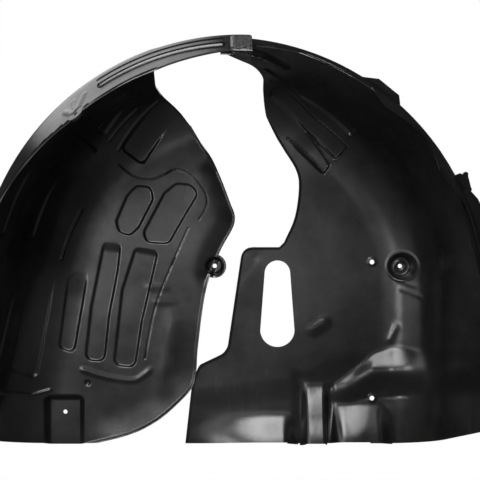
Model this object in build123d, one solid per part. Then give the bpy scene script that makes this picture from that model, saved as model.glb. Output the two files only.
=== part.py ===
"""Front wheel arch liner: a front and a rear plastic moulding, lapped at the crown of the arch.

Frame while modelling: Y is the wheel's axle and runs inboard, X runs to the rear of the car and Z is up.
The wheel axis is at X = Z = 0. The finished sections are moved so that the origin is bottom centre.
Each section is one wall that follows a profile of radius against depth: a rim that flares outwards,
a ridge, a tapering tread, a wide corner and a flat inboard wall. It turns about the axle and then runs
straight down a leg. Girth is the distance from the wheel axis, measured along that profile.
"""

import os
from dataclasses import dataclass
from math import cos, hypot, radians, sin, sqrt, tan

from build123d import *

# Walls and fits
WALL = 2.4
LAP_GAP = 0.5

# The rim. Places in X and Z are drawn for a rim of 334 mm, and grow with it
RIM_RADIUS = 334.0
GROW = RIM_RADIUS / 334.0
RIM_Y = -20.0
RIM_FLARE = 30.6

# Feet: one sloping plane cuts both legs
FOOT_Z = -173.0 * GROW
FOOT_SLOPE = 16.4
WALL_REACH = 130.0 * GROW

# Embossed channels and panels, pressed away from the wheel
PAD_DEPTH = 5.0
PAD_CORNER = 7.0
PAD_DRAFT = 8.0
PAD_LEAD = 12.0
PAD_REACH_CURVE = 30.0
PAD_REACH_WALL = 12.0

# Fixings: screws pull against the body at one plane inboard of the walls
BODY_Y = 300.0
SCREW_HOLE = 3.6
SCREW_Z = 40.0 * GROW
CLIP_HOLE = 4.0
CLIP_RING = 8.0
CLIP_RING_HEIGHT = 1.2
CLIP_X = 222.0 * GROW
CLIP_Z = (47.0 * GROW, -182.0 * GROW)
RIM_SCREW_X = -219.0 * GROW
RIM_SCREW_Z = 250.0 * GROW
RIM_SCREW_HOLE = 3.2
RIM_BOSS_RADIUS = 10.0
RIM_BOSS_DEPTH = 16.0

# Crown: the front section's strip and lap tab, and the rear section's tip below them
STRIP_Y = 50.0
LAP_END_X = 17.0 * GROW
LAP_PLATE_LENGTH = 24.0
LAP_PLATE_HEIGHT = 1.0
LAP_PLATE_EDGE = 4.0
TIP_X = -27.0 * GROW
BEAD_RADIUS = 3.2
BEAD_Y = (16.0, 38.0)
BEAD_ANGLES = (94.0, 123.0)

# Front section's lug and pocket
LUG_X = -43.0 * GROW
LUG_RADIUS = 20.0
LUG_MOUTH = 16.0
LUG_FLOOR = 11.0
POCKET_X = -296.0 * GROW
POCKET_WIDTH = 48.0
POCKET_TOP_Z = -186.0 * GROW
POCKET_LENGTH = 180.0
POCKET_DRAFT = 28.0
POCKET_HOLE_Z = -207.0 * GROW

# Rear section's cup, slot and edge fixings
CUP_X = 271.0 * GROW
CUP_MOUTH = 21.5
CUP_FLOOR = 17.5
SLOT_X = 63.0 * GROW
SLOT_TOP_Z = 28.0 * GROW
SLOT_TOP_RADIUS = 21.5
SLOT_FOOT_Z = -67.0 * GROW
SLOT_FOOT_RADIUS = 29.0
TAB_Y = 54.0
TOWER_DEPTH = 14.0

# Cutters run past the walls by this much. Those for the walls start between the tread and the wall, and
# those for the strut gap start below the crown
FAR = 900.0
WALL_CUT_Y = 200.0
FRONT_GAP_Z = 248.0 * GROW
REAR_GAP_Z = 264.0 * GROW
# Seats start this far outboard of the wall, so that they clear the round corner
SEAT_LEAD = 22.0
CUP_LEAD = 60.0
# The space behind a wall that seats may fill
BACK_SPACE = 48.0

ON_PLANE = (Align.CENTER, Align.CENTER, Align.MIN)


@dataclass
class Section:
    """One moulding's driving sizes. Angles go up from the rear, about its own axis."""

    axis_x: float
    axis_z: float
    rim_radius: float
    ridge_y: float
    ridge_fillet: float
    corner_radius: float
    corner_fillet: float
    wall_y: float
    arch_from: float
    arch_to: float
    leg_angle: float


# The rear section has an axis of its own, and its crown tip just clears the front one's rim
REAR_AXIS_X = -24.0 * GROW
REAR_AXIS_Z = -4.0 * GROW
NEST = (WALL + LAP_GAP) / cos(radians(RIM_FLARE))
TIP_Z = sqrt(RIM_RADIUS**2 - TIP_X**2) - NEST

FRONT = Section(
    axis_x=0.0,
    axis_z=0.0,
    rim_radius=RIM_RADIUS,
    ridge_y=58.0,
    ridge_fillet=30.0,
    corner_radius=338.0 * GROW,
    corner_fillet=95.0,
    wall_y=285.0,
    arch_from=75.0,
    arch_to=168.0,
    leg_angle=168.0,
)
REAR = Section(
    axis_x=REAR_AXIS_X,
    axis_z=REAR_AXIS_Z,
    rim_radius=hypot(TIP_X - REAR_AXIS_X, TIP_Z - REAR_AXIS_Z),
    ridge_y=58.0,
    ridge_fillet=30.0,
    corner_radius=337.0 * GROW,
    corner_fillet=90.0,
    wall_y=289.0,
    arch_from=0.0,
    arch_to=105.0,
    leg_angle=0.0,
)


def grown(points):
    """Points drawn in X and Z, at the rim's size."""
    return [(x * GROW, z * GROW) for x, z in points]


def plan(points):
    """Points drawn in X and Y, with X at the rim's size."""
    return [(x * GROW, y) for x, y in points]


def rim_radius_at(section, y):
    """Radius of a section's flared rim at a depth."""
    return section.rim_radius + (y - RIM_Y) * tan(radians(RIM_FLARE))


def profile(section, inner_end, out=0.0):
    """The section's profile, with X for radius and Y for depth, moved out from the wheel side."""
    corners = [
        Vector(section.rim_radius, RIM_Y),
        Vector(rim_radius_at(section, section.ridge_y), section.ridge_y),
        Vector(section.corner_radius, section.wall_y),
        Vector(inner_end, section.wall_y),
    ]
    runs = [(b - a).normalized() for a, b in zip(corners, corners[1:])]
    normals = [Vector(run.Y, -run.X) for run in runs]
    moved = [corners[0] + normals[0] * out]
    for corner, before, after in zip(corners[1:], normals, normals[1:]):
        moved.append(corner + (before + after) * (out / (1 + before.dot(after))))
    moved.append(corners[-1] + normals[-1] * out)
    return FilletPolyline(*moved, radius=[section.ridge_fillet + out, section.corner_fillet + out])


def turn_axis(section):
    """The line that a section turns about; positive angles lift +X towards +Z."""
    return Axis((section.axis_x, 0, section.axis_z), (0, -1, 0))


def radial(angle):
    """Unit vector away from the axle at an angle."""
    return Vector(cos(radians(angle)), 0, sin(radians(angle)))


def leg_direction(section):
    """Unit vector down a section's leg, tangent to its arch."""
    tangent = radial(section.leg_angle + 90)
    return tangent if tangent.Z < 0 else tangent * -1


def band(section, near, far):
    """Solid between two offsets of a section's wheel side, round its arch and down its leg."""

    def face(inner_end, angle):
        inner = profile(section, inner_end, near)
        outer = profile(section, inner_end, far)
        ends = [Line(inner @ i, outer @ i).edge() for i in (0, 1)]
        flat = make_face(inner.edges() + outer.edges() + ends)
        return (Pos(section.axis_x, 0, section.axis_z) * flat).rotate(turn_axis(section), angle)

    sweep = section.arch_to - section.arch_from
    arch = revolve(face(0, section.arch_from), turn_axis(section), revolution_arc=sweep)
    leg_face = face(-WALL_REACH, section.leg_angle)
    return arch + extrude(leg_face, amount=FAR, dir=leg_direction(section))


def back(section):
    """The space on the body's side of a section, for what is built onto its back."""
    return band(section, WALL / 2, BACK_SPACE)


def seat(section, angle, drop, girth):
    """Point on a section's wheel side and the normal there, away from the wheel."""
    line = profile(section, 0)
    along = line.length - girth * GROW
    flat = line.position_at(along, position_mode=PositionMode.LENGTH)
    run = line.tangent_at(along, position_mode=PositionMode.LENGTH)
    outward = radial(angle)
    axis = Vector(section.axis_x, 0, section.axis_z)
    point = axis + outward * flat.X + Vector(0, flat.Y, 0) + leg_direction(section) * drop * GROW
    return point, outward * run.Y - Vector(0, run.X, 0)


def block(points, away, spare, reach):
    """Drafted block through a wall, on a rounded outline that it has where its points lie."""
    middle = sum(points, Vector(0, 0, 0)) / len(points)
    plane = Plane(middle, x_dir=points[1] - points[0], z_dir=away)
    flat = [plane.to_local_coords(point) for point in points]
    rounded = FilletPolyline(*[(p.X, p.Y) for p in flat], radius=PAD_CORNER, close=True)
    wider = offset(make_face(rounded.edges()), PAD_LEAD * tan(radians(PAD_DRAFT)) + spare)
    return extrude(plane.offset(-PAD_LEAD) * wider, amount=PAD_LEAD + reach, taper=PAD_DRAFT)


def pad(points, away, reach):
    """A channel's back, and the block that hollows it from the wheel side."""
    return block(points, away, WALL, reach), block(points, away, 0, reach)


def curved_pad(section, stations):
    """Channel on a curved part of a section, with a corner at each (angle, drop down the leg, girth)."""
    seats = [seat(section, *station) for station in stations]
    away = sum((away for _, away in seats), Vector(0, 0, 0))
    return pad([point for point, _ in seats], away, PAD_REACH_CURVE)


def wall_pad(section, corners):
    """Panel on a section's flat wall, with its corners given in X and Z."""
    return pad([Vector(x, section.wall_y, z) for x, z in grown(corners)], Vector(0, 1, 0), PAD_REACH_WALL)


def emboss(section, shell, pads):
    """Press channels and panels away from the wheel, at one wall thickness."""
    backs = band(section, WALL / 2, WALL + PAD_DEPTH)
    hollow = band(section, -WALL, PAD_DEPTH)
    shell = shell + [outer & backs for outer, _ in pads]
    return shell - [inner & hollow for _, inner in pads]


def across(outline, y_from, y_to):
    """Solid from an outline in X and Z, run along the axle."""
    return extrude(Plane.XZ.offset(-y_to) * outline, amount=y_to - y_from)


def upwards(outline, z_from):
    """Solid from an outline in X and Y, run upwards."""
    return extrude(Plane.XY.offset(z_from) * outline, amount=2 * FAR)


def inboard(x, y, z):
    """Frame at a point, with its Z axis inboard and its Y axis down."""
    return Plane((x, y, z), x_dir=(1, 0, 0), z_dir=(0, 1, 0))


def foot_cutter():
    """Everything below the sloping plane that both legs end on."""
    slope = radians(FOOT_SLOPE)
    plane = Plane((0, 0, FOOT_Z), x_dir=(1, 0, 0), z_dir=(0, sin(slope), cos(slope)))
    return extrude(plane * Rectangle(4 * FAR, 2 * FAR), amount=-2 * FAR)


def rim_cutter(points):
    """Everything outboard of a rim's edge, which is drawn in X and Y and runs to both sides."""
    edge = Polyline(*plan(points))
    start, end = edge @ 0, edge @ 1
    ends = Polyline(end, (end.X, -FAR), (start.X, -FAR), start)
    return upwards(make_face(edge.edges() + ends.edges()), -FAR)


def cut_all(shell, cutters):
    """Cut a shell with one cutter after another."""
    for cutter in cutters:
        shell = shell - cutter
    return shell


def cup(section, shell, x, mouth, floor):
    """Round dished seat down to the body plane, with a screw hole in its floor."""
    depth = BODY_Y - section.wall_y
    top = inboard(x, section.wall_y - CUP_LEAD, SCREW_Z)
    dish = inboard(x, section.wall_y, SCREW_Z)

    def plug(wall):
        lead = top * Cylinder(mouth + wall, CUP_LEAD, align=ON_PLANE)
        return lead + dish * Cone(mouth + wall, floor + wall, depth + wall, align=ON_PLANE)

    hole = dish * Cylinder(SCREW_HOLE, 2 * depth, align=ON_PLANE)
    return shell + (plug(WALL) & back(section)) - plug(0) - hole


def rim_boss(shell):
    """Screw boss on the front rim: a short cup whose floor faces outboard."""
    start = inboard(RIM_SCREW_X, RIM_Y, RIM_SCREW_Z)
    boss = start * Cylinder(RIM_BOSS_RADIUS, RIM_BOSS_DEPTH, align=ON_PLANE)
    core = start.offset(WALL) * Cylinder(RIM_BOSS_RADIUS - WALL, RIM_BOSS_DEPTH, align=ON_PLANE)
    hole = start.offset(-WALL) * Cylinder(RIM_SCREW_HOLE, RIM_BOSS_DEPTH, align=ON_PLANE)
    return shell + boss - core - hole


def front_pads():
    """The front section's channels: down the leg, round the arch, and panels on the wall."""
    leg = FRONT.leg_angle
    curved = [
        [(leg, 62, 386), (leg, 62, 424), (leg, 185, 430), (leg, 185, 392)],
        [(leg, 30, 308), (leg, 42, 356), (leg, 204, 355), (leg, 214, 303)],
        [(leg, 4, 257), (leg, 40, 286), (leg, 157, 277), (leg, 162, 251)],
        [(146, 0, 474), (146, 0, 510), (166, 0, 512), (166, 0, 475)],
        [(147, 0, 371), (147, 0, 408), (166, 0, 406), (166, 0, 368)],
        [(122, 0, 378), (123, 0, 400), (132, 0, 372), (131, 0, 350)],
        [(113, 0, 301), (115, 0, 346), (130, 0, 309), (128, 0, 266)],
    ]
    flat = [
        [(-190, 160), (-172, 175), (-152, 172), (-146, 150), (-152, 112), (-188, 92), (-207, 106)],
        [(-125, 163), (-104, 178), (-84, 175), (-71, 160), (-120, 80), (-152, 80), (-162, 98)],
        [(-175, 72), (-137, 70), (-151, 8), (-165, -52), (-177, -130), (-212, -126), (-198, 0)],
        [(-222, 66), (-202, 40), (-228, -119), (-260, -116)],
    ]
    return [curved_pad(FRONT, p) for p in curved] + [wall_pad(FRONT, p) for p in flat]


def rear_pads():
    """The rear section's channels, which fan down from the strut gap, and its kicked-out foot."""
    channels = [
        [(83, 0, 450), (83, 0, 426), (52, 0, 331), (52, 0, 354)],
        [(82, 0, 400), (81, 0, 349), (50, 0, 290), (50, 0, 320)],
        [(69, 0, 276), (64, 0, 304), (50, 0, 278), (50, 0, 254)],
    ]
    foot = [(-78, -186), (98, -164), (206, -114), (206, -160), (190, -232), (-82, -240)]
    return [curved_pad(REAR, p) for p in channels] + [wall_pad(REAR, foot)]


def front_cutters():
    """The front section's edges: along the wall, round the strut gap and along the rim."""
    upper = Spline(
        *grown([(-92, 292), (-66, 248), (-44, 215), (-18, 151), (-9, 114)]),
        *grown([(-34, 64), (-57, 0), (-70, -90), (-73, -134)]),
    )
    lower_points = grown([(-73, -134), (-107, -193), (-185, -242), (-262, -262)])
    lower = Spline(*lower_points, tangents=[(0, -1), (-1, -0.1)])
    rest = Polyline(lower @ 1, (lower_points[-1][0], -FAR), (FAR, -FAR), (FAR, FAR), upper @ 0)
    wall_edge = make_face(upper.edges() + lower.edges() + rest.edges())

    strip_points = [(LAP_END_X, -FAR), (LAP_END_X, STRIP_Y), (-128 * GROW, STRIP_Y), (-131 * GROW, 136)]
    strip = FilletPolyline(*strip_points, radius=[6, 14])
    notch_points = [(-133, 176), (-133, 211), (-123, 245), (-94, 276), (-66, 286), (-30, 300)]
    notch = Spline(strip @ 1, *plan(notch_points))
    rest = Polyline(notch @ 1, (FAR, 300), (FAR, -FAR), strip @ 0)
    gap = make_face(strip.edges() + notch.edges() + rest.edges())

    leg_rim = [(-234, -15), (-290, 8), (-356, 42), (-FAR, 42)]
    rim = rim_cutter([(FAR, -2), (-8, -2), (-60, -12), (-114, -20), *leg_rim])
    return [across(wall_edge, WALL_CUT_Y, FAR), upwards(gap, FRONT_GAP_Z), rim]


def rear_cutters():
    """The rear section's edges, and the long slot in its wall."""
    upper = Spline(*grown([(24, 330), (57, 264), (74, 235), (94, 202), (99, 172), (92, 122), (74, 80)]))
    corners = grown([(66, 72), (4, 72), (-22, -104), (-68, -126), (-80, -150), (-110, -420)])
    lower = FilletPolyline(upper @ 1, *corners, radius=[5, 20, 24, 14, 30])
    rest = Polyline(lower @ 1, (-FAR, -420 * GROW), (-FAR, 330 * GROW), upper @ 0)
    wall_edge = make_face(upper.edges() + lower.edges() + rest.edges())

    tip = Line((TIP_X, -FAR), (TIP_X, 116))
    notch_points = [(-3, 142), (22, 167), (36, 205), (38, 250), (43, 277), (58, 288), (100, 306)]
    notch = Spline(tip @ 1, *plan(notch_points))
    rest = Polyline(notch @ 1, (-FAR, 306), (-FAR, -FAR), tip @ 0)
    gap = make_face(tip.edges() + notch.edges() + rest.edges())

    crown = [(-FAR, -6), (-12, -6), (22, 31), (85, 41), (160, 37), (188, 38), (204, 17)]
    rim = rim_cutter([*crown, (230, 30), (268, 44), (278, 14), (293, 22), (322, 44), (FAR, 44)])
    ends = [(SLOT_TOP_Z, SLOT_TOP_RADIUS), (SLOT_FOOT_Z, SLOT_FOOT_RADIUS)]
    slot = make_hull([(Pos(SLOT_X, z) * Circle(radius)).edge() for z, radius in ends])
    wall = across(wall_edge, WALL_CUT_Y, FAR)
    return [wall, upwards(gap, REAR_GAP_Z), rim, across(slot, WALL_CUT_Y, FAR)]


def pocket(shell):
    """Screw pocket at the foot of the front section, open below."""
    mouth_y = FRONT.wall_y - SEAT_LEAD
    depth = BODY_Y - mouth_y
    spread = depth * tan(radians(POCKET_DRAFT))
    start = inboard(POCKET_X, mouth_y, POCKET_TOP_Z + spread)
    length = POCKET_LENGTH + 2 * spread
    mouth = Rectangle(POCKET_WIDTH + 2 * spread, length, align=(Align.CENTER, Align.MIN))
    inner = extrude(start * mouth, amount=depth, taper=POCKET_DRAFT)
    wall = WALL / cos(radians(POCKET_DRAFT)) + WALL * tan(radians(POCKET_DRAFT))
    outer_mouth = offset(mouth, wall, kind=Kind.INTERSECTION)
    outer = extrude(start * outer_mouth, amount=depth + WALL, taper=POCKET_DRAFT)
    hole = inboard(POCKET_X, mouth_y, POCKET_HOLE_Z) * Cylinder(SCREW_HOLE, 2 * depth, align=ON_PLANE)
    return shell + (outer & back(FRONT)) - inner - hole


def beads():
    """Two round beads along the outside of the crown strip."""
    start, end = BEAD_ANGLES
    axis = turn_axis(FRONT)
    rings = [Pos(rim_radius_at(FRONT, y) + WALL, y, 0) * Circle(BEAD_RADIUS) for y in BEAD_Y]
    turns = [revolve(ring.rotate(axis, start), axis, revolution_arc=end - start) for ring in rings]
    return [turn & back(FRONT) for turn in turns]


def lap_plate():
    """Raised plate on the outside of the lap tab, set in from its edges."""
    length = LAP_PLATE_LENGTH
    width = STRIP_Y - 3 * LAP_PLATE_EDGE
    middle = Pos(LAP_END_X - LAP_PLATE_EDGE - length / 2, STRIP_Y - LAP_PLATE_EDGE - width / 2)
    plate = upwards(middle * RectangleRounded(length, width, LAP_PLATE_EDGE), 0)
    return plate & band(FRONT, WALL / 2, WALL + LAP_PLATE_HEIGHT)


def front_section():
    """The front moulding: crown strip with its lap tab, channelled arch, panelled wall and leg."""
    shell = emboss(FRONT, band(FRONT, 0, WALL), front_pads())
    shell = cut_all(shell, front_cutters()) + [lap_plate(), *beads()]
    lug = inboard(LUG_X, FRONT.wall_y, SCREW_Z) * Cylinder(LUG_RADIUS, WALL, align=ON_PLANE)
    shell = cup(FRONT, pocket(shell) + lug, LUG_X, LUG_MOUTH, LUG_FLOOR)
    return rim_boss(shell) - foot_cutter()


def polar(stations):
    """Face in X and Z with its corners at (angle, height above the ridge) round the rear section."""
    ridge = rim_radius_at(REAR, REAR.ridge_y)
    axis = Vector(REAR.axis_x, 0, REAR.axis_z)
    points = [axis + radial(angle) * (ridge + height) for angle, height in stations]
    return make_face(Polyline(*[(p.X, p.Z) for p in points], close=True).edges())


def edge_fixings():
    """A flat tab, a wide ear and a hooked clip tower that stand up from the rear section's ridge."""
    tab = polar([(59, -14), (58, 0), (55, 11), (49.5, 10), (48, 0), (48, -14)])
    ear = polar([(28.6, -14), (28, 7), (24.6, 9), (21.8, 16), (17, 20), (4, 20), (1, 14), (0, -14)])
    tower = polar([(28, -14), (28, 9), (28.1, 17), (27.6, 19), (26.8, 16), (26.8, 8), (24.6, 8), (24.6, -14)])
    plates = [across(tab, TAB_Y, TAB_Y + WALL), across(ear, TAB_Y, TAB_Y + WALL)]
    space = back(REAR)
    return [piece & space for piece in [*plates, across(tower, TAB_Y + WALL, TAB_Y + TOWER_DEPTH)]]


def rear_section():
    """The rear moulding: crown tip, channelled arch, slotted wall, screw cup and edge fixings."""
    shell = emboss(REAR, band(REAR, 0, WALL), rear_pads())
    shell = cup(REAR, cut_all(shell, rear_cutters()), CUP_X, CUP_MOUTH, CUP_FLOOR)
    for z in CLIP_Z:
        start = inboard(CLIP_X, REAR.wall_y - CLIP_RING_HEIGHT, z)
        ring = start * Cylinder(CLIP_RING, CLIP_RING_HEIGHT + WALL / 2, align=ON_PLANE)
        shell = shell + ring - start * Cylinder(CLIP_HOLE, 4 * WALL, align=ON_PLANE)
    return shell + edge_fixings() - foot_cutter()


def main():
    sections = {"front_section": front_section(), "rear_section": rear_section()}
    box = Compound([*sections.values()]).bounding_box()
    home = Pos(-box.center().X, -box.center().Y, -box.min.Z)
    os.makedirs("parts", exist_ok=True)
    for name, section in sections.items():
        export_step(home * section, os.path.join("parts", f"{name}.step"))
    print("wheel axis at", home.position.X, home.position.Y, home.position.Z)


if __name__ == "__main__":
    main()
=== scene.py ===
# %% [markdown]
# # Wheel arch liner
# A wheel arch liner is the black plastic shell that stands between a car's front wheel and its body.
# This one is two mouldings that lap at the crown. The lesson rebuilds each as one thin wall that is
# first drawn flat, then bent round the wheel, embossed, thickened and trimmed like the real moulding.

from dataclasses import dataclass
from math import cos, radians, sin, tan

import bmesh
import bpy
import numpy as np
from mathutils import Matrix, Vector, geometry


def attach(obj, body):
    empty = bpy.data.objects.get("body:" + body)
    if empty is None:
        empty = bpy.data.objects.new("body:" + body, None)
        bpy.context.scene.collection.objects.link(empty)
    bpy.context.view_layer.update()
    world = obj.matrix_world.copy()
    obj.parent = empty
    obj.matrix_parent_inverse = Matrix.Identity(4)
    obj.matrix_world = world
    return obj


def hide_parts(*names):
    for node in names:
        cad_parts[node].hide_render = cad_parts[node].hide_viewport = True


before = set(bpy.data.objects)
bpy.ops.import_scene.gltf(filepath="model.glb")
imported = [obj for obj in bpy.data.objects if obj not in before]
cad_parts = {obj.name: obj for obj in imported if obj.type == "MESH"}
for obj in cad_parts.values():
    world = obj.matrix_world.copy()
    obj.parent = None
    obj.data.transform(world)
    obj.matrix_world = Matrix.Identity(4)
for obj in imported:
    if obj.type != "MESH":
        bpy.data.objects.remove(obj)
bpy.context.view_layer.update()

# %% [markdown]
# ## Where the wheel is
# Every size of the liner is in millimetres from a point on the wheel's axle, a little inside the rim of
# the arch, because a designer would draw a liner round the wheel. X runs to the rear of the car, Y inboard
# and Z up. The finished meshes are scaled to metres and moved to where the solids stand. The camera, the
# lamps, the floor and the plastic's patterns are in metres from the start.

# %% Frame of the wheel
AXLE = Vector((0.027798, -0.1412, 0.262001))
MILLIMETRE = 0.001
TO_ROW = Matrix.Translation(AXLE) @ Matrix.Scale(MILLIMETRE, 4)
print("the wheel's axle is at", tuple(AXLE))

# %% [markdown]
# ## The sections
# Both mouldings follow a profile of radius against depth: a rim that flares outwards, a rounded ridge,
# a tread that tapers a little, a wide corner and a flat inboard wall. The profile turns about the axle
# and then runs straight down a leg. A spin could sweep the arch, but the leg would be a second mesh with
# a seam. So the profile is measured here every millimetre, and a flat sheet is bent to it later.


# %% Sizes of the sections
@dataclass
class Section:
    axle_x: float
    axle_z: float
    rim_radius: float
    corner_radius: float
    corner_fillet: float
    wall_y: float
    leg_angle: float  # where the arch ends and the leg starts
    turn: int  # 1 for a leg at the rear of the wheel, -1 for one at the front
    arch_degrees: float
    inner: float  # least girth that the arch needs
    reach: float  # how far the sheet runs on past the axle


RIM_Y = -20.0
RIM_FLARE = 30.6
RIDGE_Y = 58.0
RIDGE_FILLET = 30.0
WALL = 2.4
FRONT = Section(
    axle_x=0.0,
    axle_z=0.0,
    rim_radius=334.0,
    corner_radius=338.0,
    corner_fillet=95.0,
    wall_y=285.0,
    leg_angle=168.0,
    turn=-1,
    arch_degrees=93.0,
    inner=30.0,
    reach=0.0,
)
REAR = Section(
    axle_x=-24.0,
    axle_z=-4.0,
    rim_radius=333.5,
    corner_radius=337.0,
    corner_fillet=90.0,
    wall_y=289.0,
    leg_angle=0.0,
    turn=1,
    arch_degrees=105.0,
    inner=10.0,
    reach=100.0,
)
print("rim radius:", FRONT.rim_radius, "and", REAR.rim_radius)

# %% Profile of a section
PROFILE_START = -200.0
PROFILE_STEP = 1.0
FILLET_POINTS = 60


def ridge_radius(section):
    """Radius of the ridge, where the flare from the rim meets the tread."""
    return section.rim_radius + (RIDGE_Y - RIM_Y) * tan(radians(RIM_FLARE))


def profile(section):
    """Girth, radius and depth along the wheel side, from past the axle out to the rim."""
    corners = [
        Vector((PROFILE_START, section.wall_y)),
        Vector((section.corner_radius, section.wall_y)),
        Vector((ridge_radius(section), RIDGE_Y)),
        Vector((section.rim_radius, RIM_Y)),
    ]
    fillets = (section.corner_fillet, RIDGE_FILLET)
    line = [corners[0]]
    for before, corner, after, fillet in zip(corners, corners[1:], corners[2:], fillets):
        into, out = (corner - before).normalized(), (after - corner).normalized()
        turn = into.angle(out)
        cut = fillet * tan(turn / 2)
        start, end = corner - into * cut, corner + out * cut
        handle = 4 / 3 * tan(turn / 4) * fillet
        handles = start + into * handle, end - out * handle
        line += geometry.interpolate_bezier(start, *handles, end, FILLET_POINTS)
    line.append(corners[-1])
    points = np.array([tuple(point)[:2] for point in line])
    lengths = np.hypot(*np.diff(points, axis=0).T)
    girth = np.concatenate(([0], np.cumsum(lengths))) + PROFILE_START
    even = np.append(np.arange(girth[0], girth[-1], PROFILE_STEP), girth[-1])
    return even, np.interp(even, girth, points[:, 0]), np.interp(even, girth, points[:, 1])


PROFILES = {section.turn: profile(section) for section in (FRONT, REAR)}
RIM_GIRTH = {turn: line[0][-1] for turn, line in PROFILES.items()}
print("girth out to the rim:", [round(girth, 1) for girth in RIM_GIRTH.values()])

# %% [markdown]
# ## From a flat sheet to the arch
# A point on the flat sheet is a distance along the arch and leg, and a girth along the profile. Minus
# distances are on the arch and plus ones on the leg, so one plain grid can cover both without a seam.

# %% Bending the sheet
ARCH_RADIUS = 350.0
SLOPE_STEP = 1.5


def bend(section, along, girth):
    """Points and wheel-side normals for places on the flat sheet."""
    along, girth = np.asarray(along, float), np.asarray(girth, float)
    at, radius_at, depth_at = PROFILES[section.turn]
    radius, depth = np.interp(girth, at, radius_at), np.interp(girth, at, depth_at)
    ahead, behind = girth + SLOPE_STEP, girth - SLOPE_STEP
    run_r = np.interp(ahead, at, radius_at) - np.interp(behind, at, radius_at)
    run_y = np.interp(ahead, at, depth_at) - np.interp(behind, at, depth_at)
    size = np.hypot(run_r, run_y)
    angle = radians(section.leg_angle) - section.turn * np.minimum(along, 0) / ARCH_RADIUS
    drop = np.maximum(along, 0)
    down = radians(section.leg_angle - 90 * section.turn)
    out_x, out_z = np.cos(angle), np.sin(angle)
    x = section.axle_x + out_x * radius + cos(down) * drop
    z = section.axle_z + out_z * radius + sin(down) * drop
    points = np.stack([x, depth, z], axis=-1)
    normals = np.stack([out_x * run_y / size, -run_r / size, out_z * run_y / size], axis=-1)
    return points, normals


def place(section, angle, drop, girth):
    """A place on the flat sheet from an angle on the arch or a drop down the leg, and a girth."""
    if drop:
        return drop, girth
    return radians(angle - section.leg_angle) * ARCH_RADIUS * -section.turn, girth


CROWN_ANGLE = 90
crown_point, _ = bend(FRONT, *place(FRONT, CROWN_ANGLE, 0, RIM_GIRTH[FRONT.turn]))
print("crown of the front rim:", crown_point.round(1))

# %% [markdown]
# ## Camera
# The picture looks straight into the arch along the axle, from a little above it. The camera stays level,
# so that upright edges stay upright, and its lens comes from a focal length in pixels of that picture.

# %% Camera
CAMERA_BACK = 1.3
CAMERA_UP = 0.084
SENSOR = 36
PICTURE_PIXELS = 480
FOCAL_PIXELS = 944
camera = bpy.data.objects.new("camera", bpy.data.cameras.new("camera"))
bpy.context.scene.collection.objects.link(camera)
camera.location = AXLE + Vector((0.0, -CAMERA_BACK, CAMERA_UP))
camera.rotation_euler = (radians(90), 0, 0)
camera.data.sensor_width = SENSOR
camera.data.lens = FOCAL_PIXELS / PICTURE_PIXELS * SENSOR
bpy.context.scene.camera = camera
bpy.context.scene.view_settings.view_transform = "Standard"
print("camera at", tuple(camera.location), "lens", camera.data.lens)

# %% [markdown]
# ## Lamps
# Black plastic shows little but what it mirrors, so the lamps are large soft boxes whose reflections draw
# the shapes. The key lamp stands high behind the camera. The side lamp and the narrow strip lamp stand to
# the left, for the slopes that face that way, and the wide front lamp is low and fills in the walls. The
# rim lamp and the back lamp stand behind the liner and catch its edges.


# %% Lamps
def soft_box(name, spot, target, size, power):
    """A rectangular area lamp that faces a point."""
    lamp = bpy.data.lights.new(name, "AREA")
    lamp.shape = "RECTANGLE"
    lamp.size, lamp.size_y = size
    lamp.energy = power
    thing = bpy.data.objects.new(name, lamp)
    bpy.context.scene.collection.objects.link(thing)
    thing.location = spot
    thing.rotation_euler = (Vector(target) - Vector(spot)).to_track_quat("-Z", "Y").to_euler()
    return thing


MIDDLE = (0.0, 0.0, 0.3)
LAMPS = [
    soft_box("rim_lamp", (-0.85, 1.2, 1.75), MIDDLE, (1.2, 1.2), 5.5),
    soft_box("key_lamp", (-0.25, -2.2, 1.62), MIDDLE, (1.4, 0.9), 52),
    soft_box("side_lamp", (-1.9, -1.2, 0.4), MIDDLE, (1.8, 1.0), 10),
    soft_box("strip_lamp", (-1.35, -3.0, 0.3), MIDDLE, (0.5, 1.0), 24),
    soft_box("front_lamp", (-0.15, -3.0, 0.2), MIDDLE, (1.7, 0.6), 4.6),
    soft_box("back_lamp", (0.6, 3.0, 0.6), MIDDLE, (2.4, 1.0), 14),
]
print("lamps:", [lamp.name for lamp in LAMPS])

# %% [markdown]
# ## Node sums
# Shader nodes are quicker to read as sums, so one small class wraps a socket. Its operators add Math
# nodes, and its one method adds any other node.


# %% Sums on sockets
class Shade:
    """A socket in a node tree that can be used in sums."""

    def __init__(self, tree, socket=None):
        self.tree = tree
        self.socket = socket

    def node(self, kind, settings=None, inputs=None, output=0):
        """Add a node, set it up, fill its sockets and return one of its outputs."""
        made = self.tree.nodes.new("ShaderNode" + kind)
        for name, value in (settings or {}).items():
            setattr(made, name, value)
        for name, value in (inputs or {}).items():
            if isinstance(value, Shade):
                self.tree.links.new(value.socket, made.inputs[name])
            else:
                made.inputs[name].default_value = value
        return Shade(self.tree, made.outputs[output])

    def sum(self, operation, first, second):
        return self.node("Math", {"operation": operation}, {0: first, 1: second})

    def __add__(self, other):
        return self.sum("ADD", self, other)

    def __sub__(self, other):
        return self.sum("SUBTRACT", self, other)

    def __rsub__(self, other):
        return self.sum("SUBTRACT", other, self)

    def __mul__(self, other):
        return self.sum("MULTIPLY", self, other)

    __radd__ = __add__
    __rmul__ = __mul__


def new_material(name):
    """A bare material, its node tree as a Shade, and its output node."""
    material = bpy.data.materials.new(name)
    material.use_nodes = True
    tree = material.node_tree
    tree.nodes.clear()
    return material, Shade(tree), tree.nodes.new("ShaderNodeOutputMaterial")


print("node sums ready")

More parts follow.
